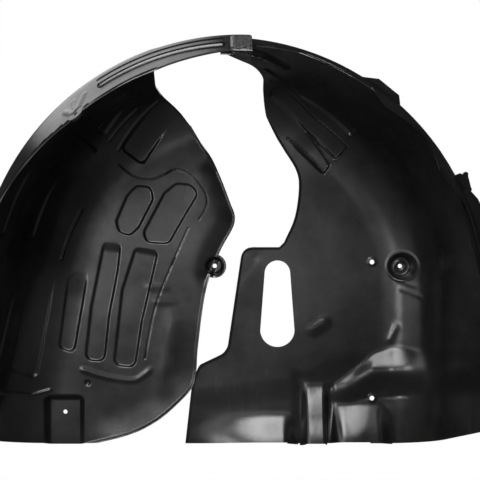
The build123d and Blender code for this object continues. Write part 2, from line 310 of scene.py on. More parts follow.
# %% [markdown]
# ## Floor and white background
# For the light the floor is grey paper, which throws only a little back up into the arch. For the camera
# it and the world are plain white, so no shadow is seen. The floor ends about a metre behind the liner,
# because a longer one would show in the gloss of the walls.

# %% Floor
FLOOR_HALF = Vector((6.0, 3.6, 1.0))
FLOOR_MIDDLE = Vector((0.0, -2.4, 0.0))
PAPER_GREY = (0.28, 0.28, 0.28, 1)
WHITE = (1, 1, 1, 1)


def as_object(name, bm):
    """An object from a bmesh, which is then freed."""
    mesh = bpy.data.meshes.new(name)
    bm.to_mesh(mesh)
    bm.free()
    thing = bpy.data.objects.new(name, mesh)
    bpy.context.scene.collection.objects.link(thing)
    return thing


floor_bm = bmesh.new()
bmesh.ops.create_grid(floor_bm, x_segments=1, y_segments=1, size=1.0)
bmesh.ops.scale(floor_bm, vec=FLOOR_HALF, verts=floor_bm.verts)
bmesh.ops.translate(floor_bm, vec=FLOOR_MIDDLE, verts=floor_bm.verts)
floor = as_object("floor", floor_bm)
floor_material, sums, output = new_material("floor_white")
paper = sums.node("BsdfDiffuse", None, {"Color": PAPER_GREY})
glow = sums.node("Emission", None, {"Color": WHITE, "Strength": 1.0})
seen = sums.node("LightPath", output="Is Camera Ray")
mixed = sums.node("MixShader", None, {0: seen, 1: paper, 2: glow})
floor_material.node_tree.links.new(mixed.socket, output.inputs["Surface"])
floor.data.materials.append(floor_material)
print("floor is", 2 * FLOOR_HALF.x, "m wide")

# %% World
WORLD_LIGHT = 0.03
world = bpy.data.worlds.new("studio")
bpy.context.scene.world = world
world.use_nodes = True
world.node_tree.nodes.clear()
sky = Shade(world.node_tree)
seen = sky.node("LightPath", output="Is Camera Ray")
strength = seen * (1 - WORLD_LIGHT) + WORLD_LIGHT
light = sky.node("Background", None, {"Color": WHITE, "Strength": strength})
world_output = world.node_tree.nodes.new("ShaderNodeOutputWorld")
world.node_tree.links.new(light.socket, world_output.inputs["Surface"])
print("world is white for the camera")

# %% [markdown]
# ## The plastic
# The liner is moulded from black polypropylene: a deep black with a soft gloss, finely grained by the
# mould, and a little greyer where dust has settled. A photograph of plastic could be wrapped on, but
# noise in the object's own space has no seams and can be read as a few sums. The lap at the crown is
# stippled, so a small window in X and Z picks it out. The stipple is also painted grey: a painted sheen
# that stands in for the light the lap catches.

# %% Patterns
plastic, sums, output = new_material("liner_plastic")
place_on = sums.node("TexCoord", output="Object")
NOISE_ROUGHNESS = 0.6


def noise(scale, detail, stretch=(1, 1, 1)):
    """Cloudy pattern in the object's own space."""
    where = sums.node("Mapping", None, {"Vector": place_on, "Scale": stretch})
    inputs = {"Vector": where, "Scale": scale, "Detail": detail, "Roughness": NOISE_ROUGHNESS}
    return sums.node("TexNoise", None, inputs)


def limits(value, low, high):
    """A value stretched so that low and high become 0 and 1."""
    inputs = {"Value": value, "From Min": low, "From Max": high}
    return sums.node("MapRange", {"interpolation_type": "SMOOTHSTEP"}, inputs)


def blend(share, first, second):
    """A colour between two others."""
    return sums.node("Mix", {"data_type": "RGBA"}, {0: share, 6: first, 7: second}, output=2)


cloud = noise(9.0, 5.0)
grain = noise(900.0, 2.0)
scuff = noise(70.0, 8.0)
wiped = noise(30.0, 6.0, (1, 1, 0.2))
dust = limits(noise(8.0, 8.0), 0.45, 0.8) * limits(wiped, 0.3, 0.75)
print("patterns ready")

# %% Colour
DEEP_BLACK = (0.004, 0.004, 0.004, 1)
SOFT_BLACK = (0.011, 0.0105, 0.01, 1)
DUST_GREY = (0.05, 0.048, 0.045, 1)
# Grey of the lap's stipple: a painted sheen for the light that the lap at the crown catches
STIPPLE_PAINTED_SHEEN_GREY = (0.16, 0.16, 0.16, 1)
DUST_SHARE = 0.4
LAP_LEFT = -0.012
LAP_RIGHT = 0.0175
LAP_LOW = 0.33
LAP_BLUR = 0.001
across = sums.node("SeparateXYZ", None, {"Vector": place_on}, output="X") - AXLE.x
upward = sums.node("SeparateXYZ", None, {"Vector": place_on}, output="Z") - AXLE.z
on_lap = limits(across, LAP_LEFT, LAP_LEFT + LAP_BLUR) * limits(across, LAP_RIGHT, LAP_RIGHT - LAP_BLUR)
on_lap = on_lap * limits(upward, LAP_LOW, LAP_LOW + 2 * LAP_BLUR)
# The lap's stipple pattern: it roughens the bump (real grain) and carries the painted grey sheen
stipple_and_painted_sheen = on_lap * limits(noise(420.0, 2.0), 0.4, 0.6)
black = blend(cloud, DEEP_BLACK, SOFT_BLACK)
dusty = blend(dust * DUST_SHARE, black, DUST_GREY)
# Painted sheen: the lap's stipple is painted grey over the black and the dust
colour = blend(stipple_and_painted_sheen, dusty, STIPPLE_PAINTED_SHEEN_GREY)
print("colour ready, stippled from", LAP_LEFT, "to", LAP_RIGHT)

# %% Gloss and grain
LEAST_ROUGHNESS = 0.13
rough = cloud * 0.1 + scuff * 0.08 + dust * 0.15 + LEAST_ROUGHNESS
texture = grain + scuff * 0.6 + stipple_and_painted_sheen * 3.0
wave = sums.node("Bump", None, {"Strength": 0.25, "Distance": 0.004, "Height": cloud})
bump = sums.node("Bump", None, {"Strength": 0.08, "Distance": 0.0006, "Height": texture, "Normal": wave})
shader = sums.node(
    "BsdfPrincipled",
    None,
    {
        "Base Color": colour,
        "Roughness": rough,
        "Normal": bump,
        "Specular IOR Level": 0.3,
        "Coat Weight": limits(noise(6.0, 7.0), 0.3, 0.72),
        "Coat Roughness": 0.3,
    },
)
plastic.node_tree.links.new(shader.socket, output.inputs["Surface"])
print("plastic ready")

# %% [markdown]
# ## Relief
# Channels, ribs, beads, cups and leaning facets are all the same idea: inside an outline the wall is
# pressed away from the wheel or towards it, or lies on another plane, and a soft slope joins the two.
# Booleans could cut them, but a height that is worked out for each point keeps the wall at one thickness,
# as a moulding needs. An outline is kept as a way to measure the distance to it, minus inside, so that
# the mesh can also be made finer just where a slope needs it.


# %% Slopes
def ease(share):
    """A share from 0 to 1 with soft ends."""
    share = np.clip(share, 0, 1)
    return share * share * (3 - 2 * share)


@dataclass
class Relief:
    distance: object
    height: object = 0.0  # a number, or a function of the points
    soft: float = 2.5  # half the width of the slope
    level: float = None  # depth of the plane that the inside lies on
    fine: int = 1  # how often the cells at the slope are split
    fade: tuple = None  # where the relief starts, and the run over which it grows

    def share(self, points):
        """How far each point is up the slope, from 0 outside to 1 inside."""
        part = ease(0.5 - self.distance(points) / (2 * self.soft))
        if self.fade:
            start, run = self.fade
            part *= ease((points - start) @ run / (run @ run))
        return part

    def rise(self, points):
        """How far each point moves towards the wheel."""
        full = self.height(points) if callable(self.height) else self.height
        return full * self.share(points)

    def is_near(self, points, margin):
        """Points whose cells need to be finer, round the slope."""
        return np.abs(self.distance(points)) < self.soft + margin


print("slopes are", 2 * Relief.soft, "mm wide unless they say otherwise")

# %% [markdown]
# ## Distances
# A line or an outline is a few straight runs, so the distance to it is the least distance to a run. A
# point is inside an outline where a ray from it crosses the runs an odd number of times.

# %% Distances
TINY = 1e-9


def to_run(points, start, end):
    """Distance from each point to one straight run."""
    run = end - start
    share = np.clip((points - start) @ run / max(run @ run, TINY), 0, 1)
    return np.linalg.norm(points - start - share[:, None] * run, axis=1)


def to_line(points, line):
    """Distance from each point to a line of runs."""
    best = np.full(len(points), np.inf)
    for start, end in zip(line, line[1:]):
        best = np.minimum(best, to_run(points, start, end))
    return best


def to_outline(flat, corners):
    """Signed distance from flat points to a closed outline, minus inside."""
    inside = np.zeros(len(flat), bool)
    for start, end in zip(corners, np.roll(corners, -1, axis=0)):
        run_x, run_y = end - start
        crosses = (start[1] > flat[:, 1]) != (end[1] > flat[:, 1])
        inside ^= crosses & (flat[:, 0] < start[0] + run_x * (flat[:, 1] - start[1]) / (run_y or TINY))
    best = to_line(flat, np.concatenate([corners, corners[:1]]))
    return np.where(inside, -best, best)


def inset(corners, by):
    """A closed outline moved in by a distance."""
    runs = np.roll(corners, -1, axis=0) - corners
    runs /= np.linalg.norm(runs, axis=1)[:, None]
    ahead = np.roll(corners, -1, axis=0)
    area = np.sum(corners[:, 0] * ahead[:, 1] - corners[:, 1] * ahead[:, 0])
    inward = np.stack([-runs[:, 1], runs[:, 0]], axis=1) * np.sign(area)
    before = np.roll(inward, 1, axis=0)
    return corners + (inward + before) * (by / (1 + np.sum(inward * before, axis=1)))[:, None]


print("distances ready")

# %% [markdown]
# ## Pads, ridges and discs
# A pad is a relief on a closed outline with rounded corners, a ridge one along a line, and a disc one on
# a circle. The wall bends round, so a place on another part of it could fall inside an outline by
# mistake. Each therefore measures only the wall close to it, and calls every other place far away.

# %% Pads, ridges and discs
AWAY = 1e3
PAD_REACH = 40.0
RIDGE_REACH = 60.0
WALL_FROM_Y = 200.0


def pad(corners, normal, rounding=7.0, fade=0.0, **slope):
    """Relief on a rounded outline on the wall, which can fade in from its first side."""
    corners = np.array(corners, float)
    normal = np.array(normal, float) / np.linalg.norm(normal)
    middle = corners.mean(axis=0)
    side = corners[1] - corners[0]
    side -= normal * (side @ normal)
    side /= np.linalg.norm(side)
    axes = np.stack([side, np.cross(normal, side)], axis=1)
    outline = inset((corners - middle) @ axes, rounding)

    def distance(points):
        flat = (points - middle) @ axes
        away = np.abs((points - middle) @ normal) > PAD_REACH
        return np.where(away, AWAY, to_outline(flat, outline) - rounding)

    if fade:
        start = (corners[0] + corners[1]) / 2
        run = middle - start
        slope["fade"] = (start, run * fade / np.linalg.norm(run))
    return Relief(distance, **slope)


def ridge(line, half_width, **slope):
    """Relief along a line on the wall."""
    line = np.array(line, float)
    low, high = line.min(axis=0), line.max(axis=0)

    def distance(points):
        reach = half_width + RIDGE_REACH
        near = np.all((points > low - reach) & (points < high + reach), axis=1)
        found = np.full(len(points), AWAY)
        found[near] = to_line(points[near], line) - half_width
        return found

    return Relief(distance, **slope)


def disc(x, z, radius, ring=None, **slope):
    """Relief on a circle on an inboard wall, or on a ring of some half width."""

    def distance(points):
        away = points[:, 1] < WALL_FROM_Y
        out = np.hypot(points[:, 0] - x, points[:, 2] - z) - radius
        return np.where(away, AWAY, np.abs(out) - ring if ring else out)

    return Relief(distance, **slope)


print("pads reach", PAD_REACH, "mm and ridges", RIDGE_REACH, "mm")

# %% [markdown]
# ## Places on the arch and on the inboard wall
# On the arch and the leg a place is given by an angle or a drop and a girth, as on the flat sheet. The
# inboard wall is flat, so there X and Z are enough, and a shape may run on into the corner next to it.


# %% On the arch and leg
def on_curve(section, stations, steps=30):
    """Points and normals along the wall through (angle, drop, girth) stations."""
    flat = np.array([place(section, *station) for station in stations])
    shares = np.linspace(0, len(flat) - 1, steps * (len(flat) - 1) + 1)
    along, girth = (np.interp(shares, range(len(flat)), column) for column in flat.T)
    return bend(section, along, girth)


def curved_pad(section, stations, **slope):
    """Pad on a curved part of a section."""
    flat = np.array([place(section, *station) for station in stations])
    points, normals = bend(section, *flat.T)
    return pad(points, normals.sum(axis=0), **slope)


print("places on the arch ready")

# %% On the inboard wall
CORNER_Y = 190.0


def wall_pad(section, corners, **slope):
    """Pad on a section's inboard wall, with its corners in X and Z."""
    return pad([(x, section.wall_y, z) for x, z in corners], (0, -1, 0), **slope)


def wall_ridge(points, half_width, **slope):
    """Ridge along a line in X and Z, on an inboard wall and the corner next to it."""
    line = np.array([tuple(point) for point in points])

    def distance(points):
        away = points[:, 1] < CORNER_Y
        return np.where(away, AWAY, to_line(points[:, [0, 2]], line) - half_width)

    return Relief(distance, **slope)


def wall_shelf(outline, **slope):
    """Relief on an outline in X and Z, on an inboard wall and the corner next to it."""
    outline = np.array([tuple(point) for point in outline])

    def distance(points):
        away = points[:, 1] < CORNER_Y
        return np.where(away, AWAY, to_outline(points[:, [0, 2]], outline))

    return Relief(distance, **slope)


def leaning(top, lean, most=30.0, start=14.0):
    """Height of a facet that leans towards the wheel below a line, softly at first."""
    line_x, line_z = zip(*top)

    def height(points):
        below = np.maximum(np.interp(points[:, 0], line_x, line_z) - points[:, 2], 0)
        rise = lean * np.where(below < start, below**2 / (2 * start), below - start / 2)
        return most * np.tanh(rise / most)

    return height


print("places on the inboard wall ready")

# %% [markdown]
# ## One wall from a grid
# The sheet starts as a plain grid. Cells near a slope are split up to three times, each vertex is bent
# into place and moved by the reliefs, and Solidify gives the wall its thickness away from the wheel. A
# grid that is fine all over would do too, but with many times the triangles.

# %% Flat sheet
CELL = 6.0
SPLIT_MARGINS = {1: 3.0, 2: 1.5, 3: 0.8}


def flat_sheet(section, leg):
    """Grid over the arch and the leg, without the middle of the arch."""
    arch = radians(section.arch_degrees) * ARCH_RADIUS
    rim = RIM_GIRTH[section.turn]
    length, width = arch + leg, rim + section.reach
    bm = bmesh.new()
    bmesh.ops.create_grid(bm, x_segments=round(length / CELL), y_segments=round(width / CELL), size=0.5)
    bmesh.ops.scale(bm, vec=(length, width, 1), verts=bm.verts)
    bmesh.ops.translate(bm, vec=((leg - arch) / 2, (rim - section.reach) / 2, 0), verts=bm.verts)
    spare = [vert for vert in bm.verts if vert.co.x < 0 and vert.co.y < section.inner]
    bmesh.ops.delete(bm, geom=spare, context="VERTS")
    return bm


def split_near(bm, section, reliefs, level, margin):
    """Split the edges near every slope that asks for this level of fineness."""
    flat = np.array([vert.co.xy for vert in bm.verts])
    points, _ = bend(section, *flat.T)
    near = np.zeros(len(points), bool)
    for relief in reliefs:
        if relief.fine >= level:
            near |= relief.is_near(points, margin)
    chosen = [edge for edge in bm.edges if near[edge.verts[0].index] or near[edge.verts[1].index]]
    bmesh.ops.subdivide_edges(bm, edges=chosen, cuts=1, use_grid_fill=True)
    bm.verts.index_update()


print("sheets start with cells of", CELL, "mm")


# %% Bent wall
def emboss(bm, section, reliefs):
    """Bend the sheet and move its vertices: to their planes first, then along the normals."""
    flat = np.array([vert.co.xy for vert in bm.verts])
    points, normals = bend(section, *flat.T)
    moved = points.copy()
    for relief in reliefs:
        if relief.level is not None:
            moved[:, 1] += (relief.level - moved[:, 1]) * relief.share(points)
    for relief in reliefs:
        if relief.level is None:
            moved += normals * relief.rise(points)[:, None]
    for vert, point in zip(bm.verts, moved):
        vert.co = point


def settle(thing):
    """Bake an object's modifiers into its mesh."""
    view = bpy.context.evaluated_depsgraph_get()
    view.update()
    made = bpy.data.meshes.new_from_object(thing.evaluated_get(view))
    thing.modifiers.clear()
    thing.data = made


def wall_sheet(name, section, leg, reliefs):
    """The section's whole wall, before its edges are trimmed."""
    bm = flat_sheet(section, leg)
    for level, margin in SPLIT_MARGINS.items():
        split_near(bm, section, reliefs, level, margin)
    emboss(bm, section, reliefs)
    bmesh.ops.recalc_face_normals(bm, faces=bm.faces)
    if sum(face.normal.y * face.calc_area() for face in bm.faces) > 0:
        bmesh.ops.reverse_faces(bm, faces=bm.faces)
    sheet = as_object(name, bm)
    thick = sheet.modifiers.new("wall", "SOLIDIFY")
    thick.thickness = WALL
    thick.offset = -1
    settle(sheet)
    return sheet


print("walls get", WALL, "mm of thickness")

# %% [markdown]
# ## Trimming
# A moulding's edges are where the tool closes. Here each edge is an outline, extruded into a cutter that
# a Boolean takes away, and a smooth outline is drawn through a few points. Trimming after the bend lets
# an edge be drawn as it is seen, straight across the wall's curves.


# %% Outlines of cutters
def through(points, steps=8):
    """A smooth line through points in a plane."""
    points = [Vector(point) for point in points]
    ends = [2 * points[0] - points[1], *points, 2 * points[-1] - points[-2]]
    line = []
    for before, start, end, after in zip(ends, ends[1:], ends[2:], ends[3:]):
        first, second = start + (end - before) / 6, end - (after - start) / 6
        line += geometry.interpolate_bezier(start, first, second, end, steps)[:-1]
    return [*line, points[-1]]


def rounded(points, radii, steps=6, pull=0.6):
    """A line with its inner corners rounded, by handles that pull towards each corner."""
    points = [Vector(point) for point in points]
    line = [points[0]]
    for before, corner, after, radius in zip(points, points[1:], points[2:], radii):
        into, out = (corner - before).normalized(), (after - corner).normalized()
        cut = radius * tan(into.angle(out) / 2)
        start, end = corner - into * cut, corner + out * cut
        handles = start.lerp(corner, pull), end.lerp(corner, pull)
        line += geometry.interpolate_bezier(start, *handles, end, steps)
    return [*line, points[-1]]


print("outlines ready")

# %% Cutters
ROUND_SIDES = 48


def prism(outline, low, high, upwards=False):
    """Solid from an outline: in X and Z and run inboard, or in X and Y and run upwards."""
    bm = bmesh.new()
    lift = Vector((0, 0, high - low)) if upwards else Vector((0, high - low, 0))
    corners = [(p[0], p[1], low) if upwards else (p[0], low, p[1]) for p in outline]
    face = bm.faces.new([bm.verts.new(corner) for corner in corners])
    top = bmesh.ops.extrude_face_region(bm, geom=[face])["geom"]
    bmesh.ops.translate(bm, vec=lift, verts=[v for v in top if isinstance(v, bmesh.types.BMVert)])
    bmesh.ops.recalc_face_normals(bm, faces=bm.faces)
    return as_object("cutter", bm)


def round_solid(turn, radius, depth):
    """Round solid about the Z axis of a turn."""
    bm = bmesh.new()
    sizes = dict(radius1=radius, radius2=radius, depth=depth)
    bmesh.ops.create_cone(bm, cap_ends=True, segments=ROUND_SIDES, matrix=turn, **sizes)
    return as_object("cutter", bm)


def drum(x, y, z, radius, depth):
    """Round solid that runs inboard from a point."""
    turn = Matrix.Translation((x, y + depth / 2, z)) @ Matrix.Rotation(radians(-90), 4, "X")
    return round_solid(turn, radius, depth)


def coin(middle, normal, radius, thick):
    """Round plate across a normal."""
    turn = Vector(normal).to_track_quat("Z", "Y").to_matrix().to_4x4()
    turn.translation = middle
    return round_solid(turn, radius, thick)


print("cutters ready")

# %% Cutting and joining
BORE_FROM_Y = 270
BORE_RUN = 60


def combine(thing, other, operation="DIFFERENCE"):
    """Cut an object with another or join the two, and remove the other."""
    work = thing.modifiers.new("combine", "BOOLEAN")
    work.operation = operation
    work.solver = "MANIFOLD"
    work.object = other
    settle(thing)
    bpy.data.objects.remove(other)


def bore(thing, x, z, radius):
    """Make a round hole through an inboard wall."""
    combine(thing, drum(x, BORE_FROM_Y, z, radius, BORE_RUN))


def clear_below(thing, point, normal):
    """Cut an object off below a plane and close it."""
    bm = bmesh.new()
    bm.from_mesh(thing.data)
    whole = bm.verts[:] + bm.edges[:] + bm.faces[:]
    cut = bmesh.ops.bisect_plane(bm, geom=whole, plane_co=point, plane_no=normal, clear_inner=True)
    edges = [part for part in cut["geom_cut"] if isinstance(part, bmesh.types.BMEdge)]
    bmesh.ops.holes_fill(bm, edges=edges, sides=0)
    bm.to_mesh(thing.data)
    bm.free()


print("holes are bored from a depth of", BORE_FROM_Y, "mm")

# %% [markdown]
# ## Front section's channels
# The front moulding is stiffened with long channels down its leg, short ones round the arch and rounded
# panels on the flat wall. All are pressed away from the wheel, so that the tyre keeps its room. Each has
# a number first: the length over which it fades in from its upper end, or 0 where its edge is sharp.

# %% Front channels
LEG = FRONT.leg_angle
CHANNEL = dict(height=-3.2, soft=2.0, fine=2)
front_curved = [
    (40, [(LEG, 62, 386), (LEG, 62, 424), (LEG, 185, 430), (LEG, 185, 392)]),
    (60, [(LEG, 30, 308), (LEG, 42, 356), (LEG, 204, 355), (LEG, 214, 303)]),
    (50, [(LEG, 4, 257), (LEG, 40, 286), (LEG, 157, 277), (LEG, 162, 251)]),
    (50, [(146, 0, 474), (146, 0, 510), (166, 0, 512), (166, 0, 475)]),
    (50, [(147, 0, 371), (147, 0, 408), (166, 0, 406), (166, 0, 368)]),
    (25, [(122, 0, 378), (123, 0, 400), (132, 0, 372), (131, 0, 350)]),
    (60, [(113, 0, 301), (115, 0, 346), (130, 0, 309), (128, 0, 266)]),
]
left_panel = [(-190, 158), (-174, 175), (-150, 173), (-146, 153)]
left_panel += [(-170, 106), (-185, 91), (-204, 98), (-208, 116)]
right_panel = [(-127, 163), (-107, 179), (-84, 177), (-70, 163)]
right_panel += [(-96, 120), (-120, 78), (-157, 80), (-162, 97)]
front_flat = [
    (0, left_panel),
    (0, right_panel),
    (12, [(-175, 72), (-137, 70), (-151, 8), (-165, -52), (-177, -130), (-212, -126), (-198, 0)]),
    (20, [(-228, 82), (-200, 82), (-206, 30), (-220, -42), (-228, -119), (-260, -118), (-250, -28)]),
]
front_reliefs = []
for fade, stations in front_curved:
    front_reliefs.append(curved_pad(FRONT, stations, fade=fade, rounding=9.0, **CHANNEL))
for fade, corners in front_flat:
    front_reliefs.append(wall_pad(FRONT, corners, fade=fade, rounding=12.0, **CHANNEL))
print("front channels:", len(front_reliefs))

# %% [markdown]
# ## Front section's creases and dents
# Fine creases follow the panels, and wide, soft swellings and hollows only bend the highlights. All are
# ridges along lines, with a half width, a height, a slope and a fineness. The two dents lean towards the
# wheel below a line, so that their faces catch the light from above.

# %% Front creases and dents
panel_edge = [(-202, 210), (-180, 192), (-151, 186), (-128, 194), (-108, 203), (-84, 194), (-64, 173)]
panel_edge += [(-55, 153), (-59, 134), (-69, 118)]
front_lines = [
    (panel_edge, 0.6, -1.8, 1.4, 2),
    ([(-87, 104), (-118, 34), (-143, -32), (-160, -116)], 0.6, -1.4, 1.4, 2),
    ([(-264, -134), (-236, -143), (-208, -149), (-176, -151), (-151, -134)], 1.5, 2.0, 5.0, 1),
    ([(-200, -255), (-140, -228), (-90, -190)], 4.0, 9.0, 55.0, 0),
    ([(-36, 200), (-18, 151), (-9, 114), (-34, 64), (-46, 30)], 0.0, -18.0, 42.0, 0),
    ([(-130, -160), (-120, -110), (-108, -50)], 6.0, 3.0, 28.0, 0),
]
DENT = dict(most=6.0, start=3.0)
DENT_SOFT = 16.0
FRONT_DENT_LEAN = 0.4
front_dents = [
    ([(-152, 16), (-124, 15), (-126, 10), (-150, 10)], [(-175, 17), (-100, 14)]),
    ([(-140, -11), (-112, -12), (-114, -15), (-138, -15)], [(-165, -9), (-85, -12)]),
]
for outline, top in front_dents:
    dent = leaning(top, FRONT_DENT_LEAN, **DENT)
    front_reliefs.append(wall_shelf(outline, height=dent, soft=DENT_SOFT))
for points, half_width, height, soft, fine in front_lines:
    front_reliefs.append(wall_ridge(through(points), half_width, height=height, soft=soft, fine=fine))
print("front reliefs:", len(front_reliefs))

# %% [markdown]
# ## Front section's ribs and gussets
# Ribs stand up along and between the channels and stiffen the arch. Three short gussets, pressed in, run
# up to the tab on the rim. A rib is a ridge with steep sides, and only the one that runs on to the leg is
# split finest, so that the wall stays under 200,000 triangles.

# %% Front ribs and gussets
RIB_HALF = 1.6
GUSSET_HALF = 0.8
front_ribs = [
    (2, [(123.3, 0, 399), (130.7, 0, 370)]),
    (2, [(119.5, 0, 358), (130.9, 0, 337)]),
    (2, [(113.5, 0, 352), (131, 0, 312)]),
    (2, [(136, 0, 459), (136, 0, 341)]),
    (3, [(153.2, 0, 297), (163.6, 0, 301), (LEG, 12, 304)]),
    (2, [(LEG, 241, 364), (LEG, 243, 306), (LEG, 230, 277)]),
]
gussets = [
    [(133, 0, 588), (131.8, 0, 618)],
    [(130, 0, 576), (130.9, 0, 616)],
    [(127, 0, 582), (130, 0, 614)],
]
for fine, stations in front_ribs:
    line, _ = on_curve(FRONT, stations)
    front_reliefs.append(ridge(line, RIB_HALF, height=2.6, soft=2.0, fine=fine))
for stations in gussets:
    line, _ = on_curve(FRONT, stations)
    front_reliefs.append(ridge(line, GUSSET_HALF, height=-3.0, soft=5.0))
print("front reliefs:", len(front_reliefs))

# %% [markdown]
# ## Front section's fixings
# The screw lug and the pocket in the foot reach back to the car's body, so they are reliefs that are moved
# to its plane. Heights are added after planes, so the hollow along the wall's free edge takes the lug a few
# millimetres further. A small dimple marks the wall above the pocket.

# %% Front fixings
BODY_Y = 300.0
SCREW_Z = 40.0
LUG_X = -43.0
LUG_RADIUS = 13.5
POCKET = [(-325, -181), (-266, -181), (-266, -400), (-325, -400)]
DIMPLE = (-256, -156, 4.0)
front_reliefs.append(disc(LUG_X, SCREW_Z, LUG_RADIUS, level=BODY_Y, fine=2))
front_reliefs.append(wall_pad(FRONT, POCKET, level=BODY_Y, soft=5.5, fine=2))
front_reliefs.append(disc(*DIMPLE, height=-2.0, soft=1.5, fine=2))
print("front reliefs:", len(front_reliefs))

# %% [markdown]
# ## Front section's crown strip
# The rim's flange runs on over the crown as a strip with two beads, and ends in the lap over the rear
# section. The beads and the lap are given by their depth, so one helper finds the girth of a depth.


# %% Front crown strip
def on_flange(y):
    """Girth of a depth on the front rim's flange."""
    return RIM_GIRTH[FRONT.turn] - (y - RIM_Y) / cos(radians(RIM_FLARE))


BEADS = ((16.0, 2.6, -4.0, 3), (39.0, 0.8, -2.2, 2))
BEAD_ANGLES = (94, 123)
LAP_ANGLES = (91.8, 87.6)
LAP_DEPTHS = (3, 46)
for bead_y, half_width, height, fine in BEADS:
    line, _ = on_curve(FRONT, [(angle, 0, on_flange(bead_y)) for angle in BEAD_ANGLES])
    front_reliefs.append(ridge(line, half_width, height=height, soft=1.8, fine=fine))
lap = [(LAP_ANGLES[0], 0, on_flange(y)) for y in LAP_DEPTHS]
lap += [(LAP_ANGLES[1], 0, on_flange(y)) for y in reversed(LAP_DEPTHS)]
front_reliefs.append(curved_pad(FRONT, lap, rounding=4.0, height=-1.0, soft=1.4, fine=2))
print("front reliefs:", len(front_reliefs))

# %% [markdown]
# ## Front section's trim
# The wall's free edge, beside the strut gap and down to the foot, has a low lip. The same line then cuts
# the wall, so the lip is always on the edge. The crown and the rim are cut from above.

# %% Front moulding
FRONT_LEG = 460.0
LIP = dict(soft=1.5, fine=2)
front_wall = [(-92, 292), (-66, 248), (-44, 215), (-18, 151), (-9, 114), (-34, 64), (-57, 0), (-70, -90)]
front_wall = through([*front_wall, (-73, -134)])
front_corner = through([(-73, -134), (-80, -163), (-107, -193), (-140, -220), (-185, -242), (-262, -262)])
front_edge = [tuple(p) for p in front_wall] + [tuple(p) for p in front_corner[1:]]
front_reliefs.append(wall_ridge(front_edge, 3.0, height=1.6, **LIP))
front = wall_sheet("front_section_wall", FRONT, FRONT_LEG, front_reliefs)
print("front sheet:", len(front.data.polygons), "faces")

# %% Front trim
FAR = 900.0
LUG_ROOM = dict(y=150, radius=20.0, depth=300)
FRONT_CROWN_Z = 248
beyond = [(front_edge[-1][0], -FAR), (FAR, -FAR), (FAR, FAR), (front_edge[0][0], FAR)]
edge = prism([*front_edge, *beyond], WALL_FROM_Y, FAR)
combine(edge, drum(x=LUG_X, z=SCREW_Z, **LUG_ROOM))
combine(front, edge)
strip = rounded([(17, -FAR), (17, 50), (-128, 50), (-131, 136)], [6, 14])
notch = through([(-131, 136), (-133, 176), (-133, 211), (-123, 245), (-94, 276), (-66, 286), (-30, 300)])
beyond = [(FAR, notch[-1].y), (FAR, -FAR)]
combine(front, prism([*strip, *notch[1:], *beyond], FRONT_CROWN_Z, FAR, upwards=True))
rim = [(FAR, -2), (-8, -2), (-60, -12), (-114, -20), (-234, -15), (-290, 8), (-356, 42), (-FAR, 42)]
combine(front, prism([*rim, (-FAR, -FAR), (FAR, -FAR)], -FAR, FAR, upwards=True))
print("front trimmed:", len(front.data.polygons), "faces")

# %% [markdown]
# ## Front section's holes and rim tab
# Holes for screws go through the lug, the pocket and a round tab on the rim. The tab is a coin, thicker
# than the wall, that is joined to the flange before its hole is cut.

# %% Front holes and rim tab
SCREW_HOLE = 3.6
POCKET_HOLE = (-296.0, -207.0)
RIM_TAB_ANGLE = 131.2
RIM_TAB_Y = -15
RIM_TAB_RADIUS = 12.5
RIM_TAB_HOLE = 3.2
RIM_TAB_THICK = 1.6 * WALL
bore(front, LUG_X, SCREW_Z, SCREW_HOLE)
bore(front, *POCKET_HOLE, SCREW_HOLE)
tab_point, tab_normal = bend(FRONT, *place(FRONT, RIM_TAB_ANGLE, 0, on_flange(RIM_TAB_Y)))
tab_middle = tab_point - tab_normal * WALL / 2
combine(front, coin(tab_middle, tab_normal, RIM_TAB_RADIUS, RIM_TAB_THICK), "UNION")
combine(front, coin(tab_middle, tab_normal, RIM_TAB_HOLE, 5 * WALL))
print("front with holes:", len(front.data.polygons), "faces")

# %% [markdown]
# ## Rear section's channels and creases
# The rear moulding has channels that fan down from the strut gap, a shallow panel in its foot, and a
# swelling, soft grooves and a crease low on its wall. They are made as on the front.

# %% Rear channels and creases
rear_curved = [
    (20, [(82, 0, 452), (80, 0, 431), (69.2, 0, 363), (51.6, 0, 341), (51.8, 0, 362), (69, 0, 388)]),
    (20, [(79, 0, 395), (77, 0, 341), (64, 0, 304), (50.3, 0, 289), (50.2, 0, 320), (64.6, 0, 334)]),
    (40, [(68.5, 0, 277), (64, 0, 303), (50.6, 0, 277), (50.5, 0, 258)]),
]
rear_foot = [(-78, -186), (98, -164), (206, -114), (206, -160), (190, -232), (-82, -240)]
rear_lines = [
    ([(252, -84), (262, -62)], 0.5, 3.0, 9.0, 0),
    (through([(100, -150), (101, -200), (106, -270)]), 5.0, -4.0, 12.0, 0),
    (through([(153, -165), (155, -210), (153, -270)]), 2.0, -4.0, 7.0, 0),
    (through([(186, -180), (222, -182), (280, -176)]), 0.8, -1.5, 1.8, 1),
]
rear_reliefs = []
for fade, stations in rear_curved:
    rear_reliefs.append(curved_pad(REAR, stations, fade=fade, rounding=4.0, **CHANNEL))
rear_reliefs.append(wall_pad(REAR, rear_foot, height=-3.0, soft=22.0, rounding=16.0))
for points, half_width, height, soft, fine in rear_lines:
    rear_reliefs.append(wall_ridge(points, half_width, height=height, soft=soft, fine=fine))
print("rear reliefs:", len(rear_reliefs))

# %% [markdown]
# ## Rear section's ribs
# Thin ribs edge the channels. A wide lobe and a short rib lie on the arch, with a small dimple below them,
# and two faint folds start at the leg. Each is a ridge with a half width, a height and a slope. A steep
# slope needs finer cells than a soft one.

